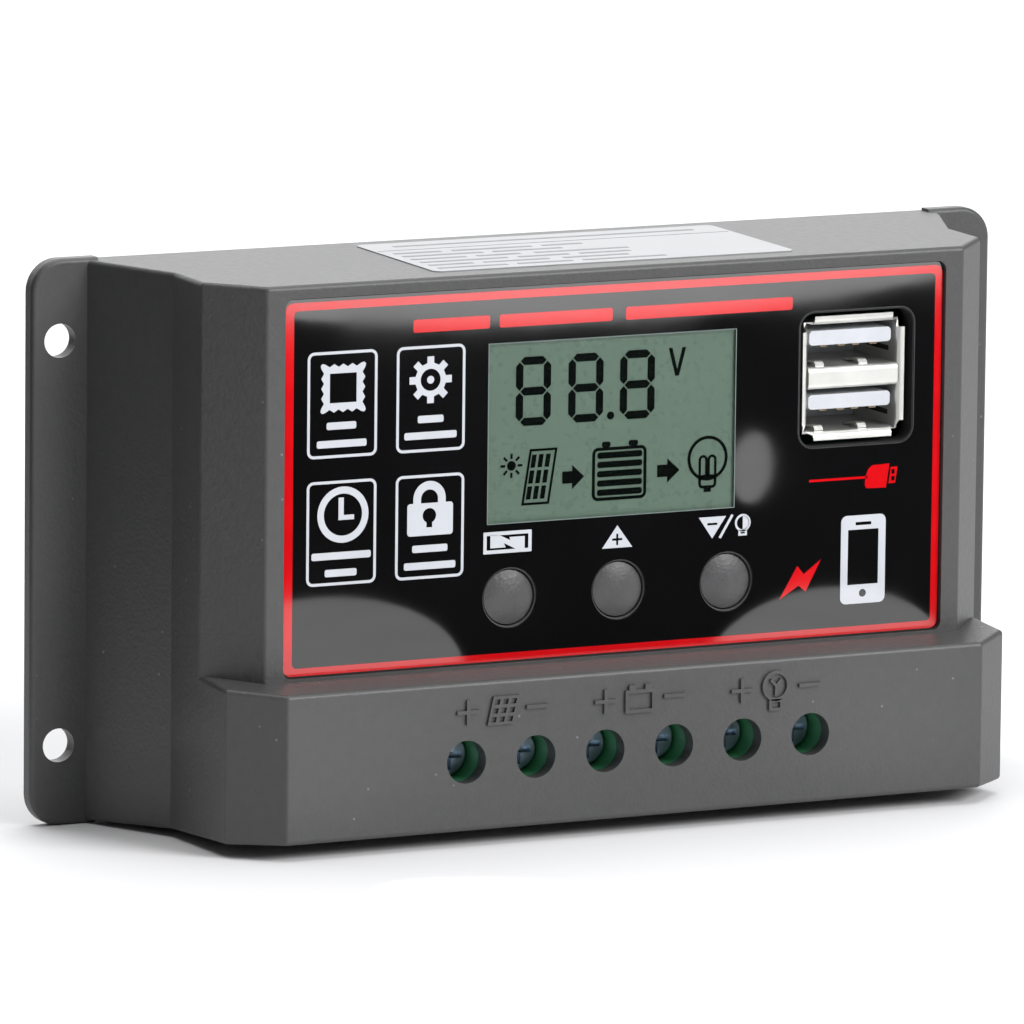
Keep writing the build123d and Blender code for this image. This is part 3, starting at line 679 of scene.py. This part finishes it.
def make_lip_symbols():
    """Plus and minus signs round a solar panel, a battery and a lamp."""
    line, z, reach = 0.45, 16.7, 1.5
    shapes = []
    for plus_x, minus_x in ((-23.7, -14.25), (-4.9, 4.65), (14.0, 23.45)):
        shapes.append([plus_loop(plus_x, z, reach, line)])
        shapes.append([minus_loop(minus_x, z + 0.1, reach, line)])
    plate = [(-21.1, 14.9), (-17.5, 14.9), (-16.7, 18.4), (-20.3, 18.4)]
    windows = [cell[0] for cell in leaning_cells(-20.7, -17.75, 15.25, 18.05, 0.64, 3, 0.42)]
    shapes.append([plate] + windows)
    shapes.append(framed(-2.2, 1.9, 15.0, 17.9, 0.2, line))
    shapes += [[box_loop(-1.7, -0.8, 17.9, 18.5)], [box_loop(0.5, 1.4, 17.9, 18.5)]]
    lamp_x, lamp_z = 18.7, 17.0
    shapes.append(ring(lamp_x, lamp_z, 1.9, 0.4))
    shapes.append(framed(lamp_x - 0.95, lamp_x + 0.95, 13.9, 15.35, 0.2, 0.36))
    filament = [
        (lamp_x - 0.16, 15.8), (lamp_x + 0.16, 15.8), (lamp_x + 0.16, 16.95), (lamp_x + 0.85, 17.65),
        (lamp_x + 0.62, 17.88), (lamp_x, 17.25), (lamp_x - 0.62, 17.88), (lamp_x - 0.85, 17.65),
        (lamp_x - 0.16, 16.95),
    ]
    shapes.append([filament])
    front, back = LIP_Y - SYMBOL_PROUD, LIP_Y + 0.1 * MM
    drawing("lip_symbols", shapes, FINISHES["case_plastic"], "case_plastic", front, back)


# ---------------------------------------------------------------- the sticker on the top

LABEL_LOW, LABEL_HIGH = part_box("top_label")
LABEL_EDGE = 0.3 * MM            # points this near the sticker's front count as its front edge


def label_top(y):
    """Height of the sticker's upper face at a depth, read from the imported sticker."""
    points = [vertex.co for vertex in frame["nodes"]["top_label"].data.vertices]
    front = max(point.z for point in points if point.y < LABEL_LOW.y + LABEL_EDGE)
    share = (y - LABEL_LOW.y) / (LABEL_HIGH.y - LABEL_LOW.y)
    return front + (LABEL_HIGH.z - front) * share


def on_label(x, depth, rise):
    """A place on the sticker. The rise above it is in metres, the rest in millimetres."""
    y = depth * MM
    return Vector((x * MM, y, label_top(y) + rise))


LABEL_ROWS = (                   # depth of each row, and the words in it as shares of the width
    (-22.6, ((0.03, 0.22), (0.25, 0.40), (0.43, 0.66))),
    (-20.2, ((0.03, 0.15), (0.18, 0.36), (0.40, 0.58))),
    (-17.8, ((0.03, 0.27), (0.30, 0.44), (0.47, 0.61))),
    (-15.4, ((0.03, 0.18), (0.21, 0.33), (0.37, 0.63))),
    (-13.0, ((0.03, 0.25), (0.28, 0.47))),
    (-10.6, ((0.03, 0.16), (0.19, 0.41), (0.44, 0.55))),
    (-5.4, ((0.08, 0.92),)),
)
ROW_HALF = 0.4                   # half the depth of a bar
DIVIDER_DEPTHS = (-8.35, -8.1)
DIVIDER_MARGIN = 0.5


def make_label_rows():
    """Plain grey bars where the sticker has its rows, and the line that divides it."""
    left, width = LABEL_LOW.x / MM, (LABEL_HIGH.x - LABEL_LOW.x) / MM
    mesh = bmesh.new()
    for depth, words in LABEL_ROWS:
        for start, end in words:
            bar = box_loop(left + start * width, left + end * width, depth - ROW_HALF, depth + ROW_HALF)
            add_slab(mesh, [bar], PRINT_PROUD, -PRINT_PROUD, on_label)
    divider = box_loop(left + DIVIDER_MARGIN, left + width - DIVIDER_MARGIN, *DIVIDER_DEPTHS)
    add_slab(mesh, [divider], PRINT_PROUD, -PRINT_PROUD, on_label)
    piece("label_rows", mesh, LABEL_INK)


# ---------------------------------------------------------------- the stacked USB sockets

USB_LOW, USB_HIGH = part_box("usb_shell")
USB_X = (USB_LOW.x + USB_HIGH.x) / 2
USB_Z = (USB_LOW.z + USB_HIGH.z) / 2
SHEET = 0.35 * MM                # thickness of the steel
WALL_SHEET = SHEET * 0.9         # as drawn in the shell's walls
LIP_SHEET = SHEET * 0.75         # as drawn in their lips
LIP_EDGE = SHEET * 0.2           # as drawn at the lips' front edges
BODY_HALF = (6.6 * MM, 6.95 * MM)        # outside of the folded shell, across and up
FLARE_HALF = ((USB_HIGH.x - USB_LOW.x) / 2, (USB_HIGH.z - USB_LOW.z) / 2)
LIP_DEPTH = 0.9 * MM
LIP_STEPS = 6
LIP_SHORT = 1.1 * MM             # the lips end this far short of the shell's corners
BAR_HALF = 1.4 * MM              # half the height of the bar between the ports
BAR_RADIUS = 0.7 * MM
BAR_DEPTH = 11 * MM
SPRING_HALF = 0.6 * MM
SPRING_SHEET = 0.2 * MM
SPRING_SETBACK = 0.7 * MM
SPRING_SHAPE = (                 # depth and rise of a spring's bends, in millimetres
    (0.0, 0.0), (0.35, 0.35), (0.7, 0.45), (1.5, 0.4), (2.6, 0.15), (4.0, 0.0),
)
SPRING_ACROSS = (-4.4 * MM, 1.7 * MM)    # each spring's place from the middle of its port
PORT_RISE = 4.0                  # each port's centre above or below the pair's centre, in millimetres
TONGUE_RISE = 0.9                # each tongue's centre above its port's centre, in millimetres
TONGUE_HALF = (5.75, 0.9)        # half a tongue's width and height, in millimetres
TONGUE_RADIUS = 0.5
TONGUE_TIP_Y = -26.2 * MM
SOCKET_BASE_Y = -16.0 * MM
SLOT_DEPTHS = (2.5 * MM, 8.0 * MM)       # behind the shell's front edge
SLOT_RISES = (-1.4 * MM, -0.8 * MM)      # from the port's centre
SLOT_FACES = (-0.05 * MM, 0.1 * MM)      # from the inside of the wall


def add_loft(mesh, rings):
    """Joins rings of the same number of points into one closed solid."""
    rows = [[mesh.verts.new(point) for point in points] for points in rings]
    for first, second in zip(rows, rows[1:]):
        for index in range(len(first)):
            after = (index + 1) % len(first)
            mesh.faces.new((first[index], first[after], second[after], second[index]))
    mesh.faces.new(rows[0])
    mesh.faces.new(rows[-1])


def add_block(mesh, low, high):
    """Adds a box between two opposite corners."""
    corners = ((low.x, low.z), (high.x, low.z), (high.x, high.z), (low.x, high.z))
    add_loft(mesh, [[Vector((x, y, z)) for x, z in corners] for y in (low.y, high.y)])


def socket_point(across, y, up):
    """A place by its distances from the middle of the pair of sockets, and its depth."""
    return Vector((USB_X + across, y, USB_Z + up))


def side_profile(wall, flare):
    """One wall's section, as distances outwards and depths. Its lip curls outwards at the front."""
    front, back = USB_LOW.y, USB_HIGH.y
    outside = [(wall, back)]
    for step in range(LIP_STEPS + 1):
        angle = math.radians(90 * step / LIP_STEPS)
        out = wall + (flare - wall) * (1 - math.cos(angle))
        outside.append((out, front + LIP_DEPTH * (1 - math.sin(angle))))
    inside = []
    for out, depth in outside:
        on_wall = depth > front + LIP_DEPTH / 3
        inside.append((out - (WALL_SHEET if on_wall else LIP_SHEET), depth))
    inside[-1] = (flare - LIP_EDGE, front)
    return outside + inside[::-1]


def add_side(mesh, turned, sign):
    """One wall of the shell: a side wall, or with turned 1 the top or bottom."""
    front, reach = USB_LOW.y, BODY_HALF[1 - turned]
    rings = []
    for end in (-1, 1):
        points = []
        for out, depth in side_profile(BODY_HALF[turned], FLARE_HALF[turned]):
            on_lip = depth < front + LIP_DEPTH * 0.8
            along = end * (reach - (LIP_SHORT if on_lip else 0.0))
            across, up = (along, out * sign) if turned else (out * sign, along)
            points.append(socket_point(across, depth, up))
        rings.append(points)
    add_loft(mesh, rings)


def add_middle_bar(mesh):
    """The bar between the two ports, drawn solid, with round front edges."""
    width, front, back = BODY_HALF[0] - SHEET, USB_LOW.y, USB_LOW.y + BAR_DEPTH
    profile = [(back, -BAR_HALF)]
    for centre, start, end in ((-1, 270, 180), (1, 180, 90)):
        profile += arc(front + BAR_RADIUS, centre * (BAR_HALF - BAR_RADIUS), BAR_RADIUS, start, end, 6)
    profile.append((back, BAR_HALF))
    add_loft(mesh, [[socket_point(side * width, y, z) for y, z in profile] for side in (-1, 1)])


def add_spring(mesh, across, floor):
    """A small bent contact spring that stands up out of a port's floor."""
    left, right = across - SPRING_HALF, across + SPRING_HALF
    rings = []
    for depth, rise in SPRING_SHAPE:
        y, low = USB_LOW.y + SPRING_SETBACK + depth * MM, floor + rise * MM
        high = low + SPRING_SHEET
        rings.append([
            socket_point(left, y, low), socket_point(right, y, low),
            socket_point(right, y, high), socket_point(left, y, high),
        ])
    add_loft(mesh, rings)


def make_usb_shell():
    """The folded steel shell of both ports, with two springs in each."""
    mesh = bmesh.new()
    for turned in (0, 1):
        for sign in (-1, 1):
            add_side(mesh, turned, sign)
    add_middle_bar(mesh)
    for across in SPRING_ACROSS:
        for port_floor in (-BODY_HALF[1] + SHEET, BAR_HALF):
            add_spring(mesh, across, port_floor)
    made = piece("usb_folded_shell", mesh, FINISHES["stamped_steel"])
    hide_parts("usb_shell")


def make_usb_moulding():
    """White moulding behind the shell: a base, and a tongue with round corners in each port."""
    low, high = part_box("usb_insulator")
    half_width, half_height = TONGUE_HALF
    x, z = USB_X / MM, (USB_Z - BASE) / MM
    mesh = bmesh.new()
    base = box_loop(low.x / MM, high.x / MM, (low.z - BASE) / MM, (high.z - BASE) / MM)
    add_slab(mesh, [base], SOCKET_BASE_Y, high.y, upright)
    for port in (-PORT_RISE, PORT_RISE):
        middle = z + port + TONGUE_RISE
        edges = (x - half_width, x + half_width, middle - half_height, middle + half_height)
        tongue = rounded_loop(*edges, TONGUE_RADIUS)
        add_slab(mesh, [tongue], TONGUE_TIP_Y, SOCKET_BASE_Y, upright)
    made = piece("usb_moulding", mesh, FINISHES["white_plastic"])
    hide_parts("usb_insulator")


def make_socket_opening_shade():
    """A dark sleeve inside the opening round the sockets: painted shade on the opening's walls."""
    shape = [opening_loop(inset) for inset in OPENING_SHADE_INSETS]
    drawing("socket_opening_shade", [shape], SLOT_SHADOW, "case_plastic", *OPENING_SHADE_Y)


def make_usb_slot_shade():
    """Slots in the right-hand wall of each port, drawn as dark patches: painted shade where the slots open."""
    mesh = bmesh.new()
    wall, front = BODY_HALF[0] - SHEET, USB_LOW.y
    for port in (-PORT_RISE * MM, PORT_RISE * MM):
        low, high = (
            socket_point(wall + face, front + depth, port + rise)
            for face, depth, rise in zip(SLOT_FACES, SLOT_DEPTHS, SLOT_RISES)
        )
        add_block(mesh, low, high)
    piece("usb_wall_slot_shade", mesh, SLOT_SHADOW)


# ---------------------------------------------------------------- camera, floor and light

CAMERA_YAW = math.radians(27.199)
CAMERA_PITCH = math.radians(9.094)
CAMERA_ROLL = math.radians(0.62)
CAMERA_LENS = 383.9              # millimetres, like the sensor's width
CAMERA_SENSOR = 36.0
CAMERA_REACH = 50.0
CAMERA_DISTANCE = 1.3424
CAMERA_TARGET = Vector((-0.008929, -0.0175, BASE + 0.037769))

FLOOR_REACH = 9.0
FLAG_X = -0.15
FLAG_DEPTHS = (-0.07, 0.3)
FLAG_HEIGHTS = (0.002, 0.4)

DARK_CARD_CORNERS = ((-0.03, -0.1), (0.11, -0.1), (0.36, -0.54), (0.18, -0.54))
DARK_CARD_RISE = 0.2 * MM        # above the floor
DARK_CARD_BRIGHTNESS = 0.02
BRIGHT_CARDS = (                 # name, x, y, half width, half depth and brightness
    ("far_card", 0.34, -0.665, 0.145, 0.25, 5.4),
    ("left_card", 0.0, -0.12, 0.026, 0.07, 2.9),
    ("right_card", 0.075, -0.11, 0.019, 0.06, 3.1),
    ("small_card", 0.15, -0.27, 0.0035, 0.03, 3.8),
)
BRIGHT_CARD_RISE = 0.4 * MM
CARD_SLANT = 0.55                # how far the cards lean to the right for each metre towards the front
CARD_POINTS = 64
GLOW_PATCH = 80                  # patches of a card's glow for each metre
GLOW_SPREAD = 0.04               # how far the glow varies, as a share of it

LIGHT_AIM = Vector((0, 0, 0))
LIGHTS = (                       # name, place, width and height, and power in watts
    ("key", (0.78, -1.22, 0.85), (0.8, 0.8), 26),
    ("overhead", (0.0, 0.2, 1.5), (1.6, 1.6), 27),
    ("rear_softbox", (0.35, 1.7, 0.55), (2.4, 0.9), 16),
)
WORLD_COLOR = (0.95, 0.97, 1.0, 1.0)
WORLD_STRENGTH = 0.28


def camera_axes():
    """The camera's directions to the right, up and forward."""
    forward = Vector((
        math.sin(CAMERA_YAW) * math.cos(CAMERA_PITCH),
        math.cos(CAMERA_YAW) * math.cos(CAMERA_PITCH),
        -math.sin(CAMERA_PITCH),
    ))
    level = Vector((math.cos(CAMERA_YAW), -math.sin(CAMERA_YAW), 0))
    upward = level.cross(forward)
    right = math.cos(CAMERA_ROLL) * level + math.sin(CAMERA_ROLL) * upward
    up = math.cos(CAMERA_ROLL) * upward - math.sin(CAMERA_ROLL) * level
    return right, up, forward


def make_camera():
    right, up, forward = camera_axes()
    data = bpy.data.cameras.new("camera")
    data.lens = CAMERA_LENS
    data.sensor_width = CAMERA_SENSOR
    data.clip_end = CAMERA_REACH
    camera = bpy.data.objects.new("camera", data)
    bpy.context.scene.collection.objects.link(camera)
    turned = Matrix((right, up, -forward)).transposed().to_4x4()
    camera.matrix_world = Matrix.Translation(CAMERA_TARGET - forward * CAMERA_DISTANCE) @ turned
    bpy.context.scene.camera = camera


def stage_plane(name, corners, material):
    """A flat sheet that is staging and not part of the object."""
    mesh = bmesh.new()
    mesh.faces.new([mesh.verts.new(corner) for corner in corners])
    made = add_object(name, mesh, material)
    return made


def make_floor():
    edges = box_loop(-FLOOR_REACH, FLOOR_REACH, -FLOOR_REACH, FLOOR_REACH)
    pale = surface("pale_floor", shade(226, 226, 227), 0.8, tint=0.01, patch=3, grain=60, depth=0.01)
    stage_plane("floor", [Vector((x, y, BASE)) for x, y in edges], pale)


def glow(name, brightness):
    """A material that gives a faintly uneven light."""
    material = bpy.data.materials.new(name)
    material.use_nodes = True
    nodes, links = material.node_tree.nodes, material.node_tree.links
    nodes.clear()
    output = nodes.new("ShaderNodeOutputMaterial")
    emission = nodes.new("ShaderNodeEmission")
    coordinates = nodes.new("ShaderNodeTexCoord").outputs["Object"]
    patches = add_noise(nodes, links, coordinates, GLOW_PATCH)
    dimmest, brightest = (1 - GLOW_SPREAD) * brightness, (1 + GLOW_SPREAD) * brightness
    strength = add_range(nodes, links, patches, dimmest, brightest)
    links.new(strength, emission.inputs["Strength"])
    links.new(emission.outputs["Emission"], output.inputs["Surface"])
    return material


def make_card(name, edges, rise, brightness):
    """A card that lies on the floor and is seen only by glossy reflections."""
    corners = [Vector((x, y, BASE + rise)) for x, y in edges]
    card = stage_plane(name, corners, glow(name, brightness))
    card.visible_camera = False
    card.visible_diffuse = False
    card.visible_shadow = False
    card.visible_transmission = False


def slanted_ellipse(x, y, half_width, half_depth):
    """An ellipse on the floor whose front leans to the right."""
    edges = []
    for step in range(CARD_POINTS):
        angle = 2 * math.pi * step / CARD_POINTS
        behind = half_depth * math.sin(angle)
        edges.append((x + half_width * math.cos(angle) - CARD_SLANT * behind, y + behind))
    return edges


def make_cards():
    """A dark card in front, which keeps the panel black, and bright ones that give it light patches."""
    make_card("dark_card", DARK_CARD_CORNERS, DARK_CARD_RISE, DARK_CARD_BRIGHTNESS)
    for name, x, y, half_width, half_depth, brightness in BRIGHT_CARDS:
        make_card(name, slanted_ellipse(x, y, half_width, half_depth), BRIGHT_CARD_RISE, brightness)


def make_left_flag():
    """A dark board that keeps light off the left flank."""
    corners = [Vector((FLAG_X, y, BASE + z)) for y, z in box_loop(*FLAG_DEPTHS, *FLAG_HEIGHTS)]
    flag = stage_plane("left_flag", corners, surface("flag_cloth", shade(10, 10, 10), 0.9, tint=0.1))
    flag.visible_camera = False
    flag.visible_shadow = False


def make_lights():
    """Three soft lights and a pale surround."""
    for name, place, size, power in LIGHTS:
        data = bpy.data.lights.new(name, "AREA")
        data.shape = "RECTANGLE"
        data.size, data.size_y = size
        data.energy = power
        light = bpy.data.objects.new(name, data)
        bpy.context.scene.collection.objects.link(light)
        light.location = place
        light.rotation_euler = (LIGHT_AIM - Vector(place)).to_track_quat("-Z", "Y").to_euler()
    world = bpy.data.worlds.new("studio")
    world.use_nodes = True
    background = world.node_tree.nodes["Background"]
    background.inputs["Color"].default_value = WORLD_COLOR
    background.inputs["Strength"].default_value = WORLD_STRENGTH
    bpy.context.scene.world = world
    bpy.context.scene.view_settings.view_transform = "Standard"


# ---------------------------------------------------------------- everything together

finish_cad_nodes()
for make in (
    make_border, make_title_bars, make_icon_frames, make_caption_bars, make_chip_icon, make_gear_icon,
    make_clock_icon, make_padlock_icon, make_charge_icon, make_step_icons, make_plug_icon, make_bolt_icon,
    make_phone_icon, make_socket_rim, make_display, make_window_rim, make_lip_symbols, make_label_rows,
    make_usb_shell, make_usb_moulding, make_usb_slot_shade, make_socket_opening_shade, make_camera, make_floor,
    make_cards, make_left_flag, make_lights,
):
    make()
